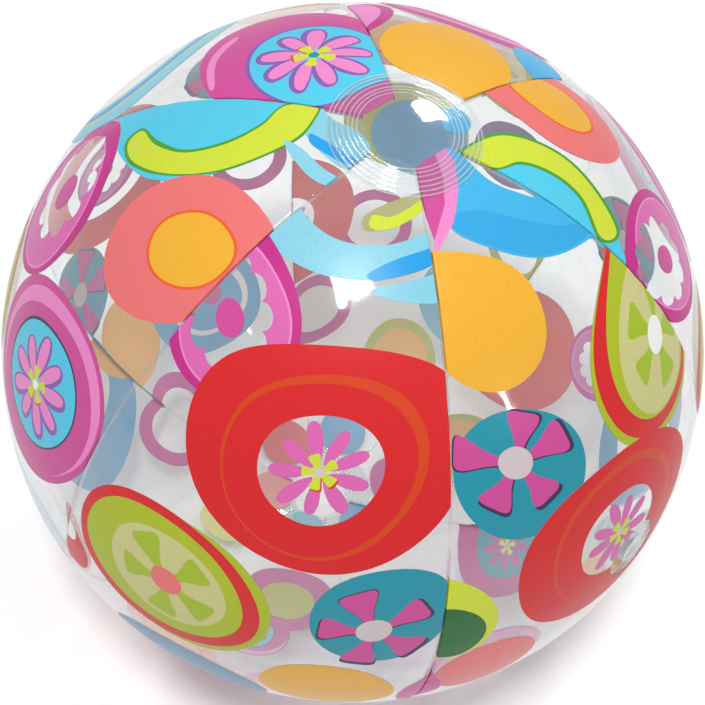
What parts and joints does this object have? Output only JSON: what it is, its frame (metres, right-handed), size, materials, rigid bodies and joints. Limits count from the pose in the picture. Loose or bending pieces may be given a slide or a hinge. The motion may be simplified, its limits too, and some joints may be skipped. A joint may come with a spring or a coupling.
{
  "type": "inflatable beach ball",
  "caption": "Inflated clear film ball of printed welded panels, with round end patches and a push-in valve whose plug, stem and flap move.",
  "frame": {"origin": "centre of the inflated ball", "axes": "+Z through the upper end patch, +X towards the side that holds the valve, which points 13.5 degrees above +X"},
  "size_m": [0.3396, 0.3396, 0.3406],
  "materials": {
    "printed_film": "clear glossy PVC film, screen printed in bright opaque colours",
    "clear_film": "clear glossy PVC film",
    "valve_vinyl": "soft clear moulded vinyl"
  },
  "bodies": {
    "ball": {"panel_1": "printed_film", "panel_2": "printed_film", "panel_3": "printed_film", "panel_4": "printed_film", "panel_5": "printed_film", "panel_6": "printed_film", "top_patch": "clear_film", "bottom_patch": "clear_film", "valve_collar": "valve_vinyl", "valve_folding_wall": "valve_vinyl"},
    "stem": {"valve_stem": "valve_vinyl"},
    "flap": {"valve_flap": "valve_vinyl"},
    "plug": {"valve_plug": "valve_vinyl", "plug_strap": "valve_vinyl"}
  },
  "joints": [
    {"name": "stem_pull", "type": "slide", "parent": "ball", "child": "stem", "axis": [0.9724, 0, 0.2334], "range_m": [0, 0.012], "deforming": ["valve_folding_wall"]},
    {"name": "plug_swing", "type": "hinge", "parent": "stem", "child": "plug", "pos_m": [0.16066, 0, 0.04937], "axis": [0, -1, 0], "range_deg": [0, 130]},
    {"name": "flap_swing", "type": "hinge", "parent": "stem", "child": "flap", "pos_m": [0.15054, 0, 0.03028], "axis": [0, -1, 0], "range_deg": [0, 40], "stiffness_Nm_per_rad": 0.001}
  ]
}
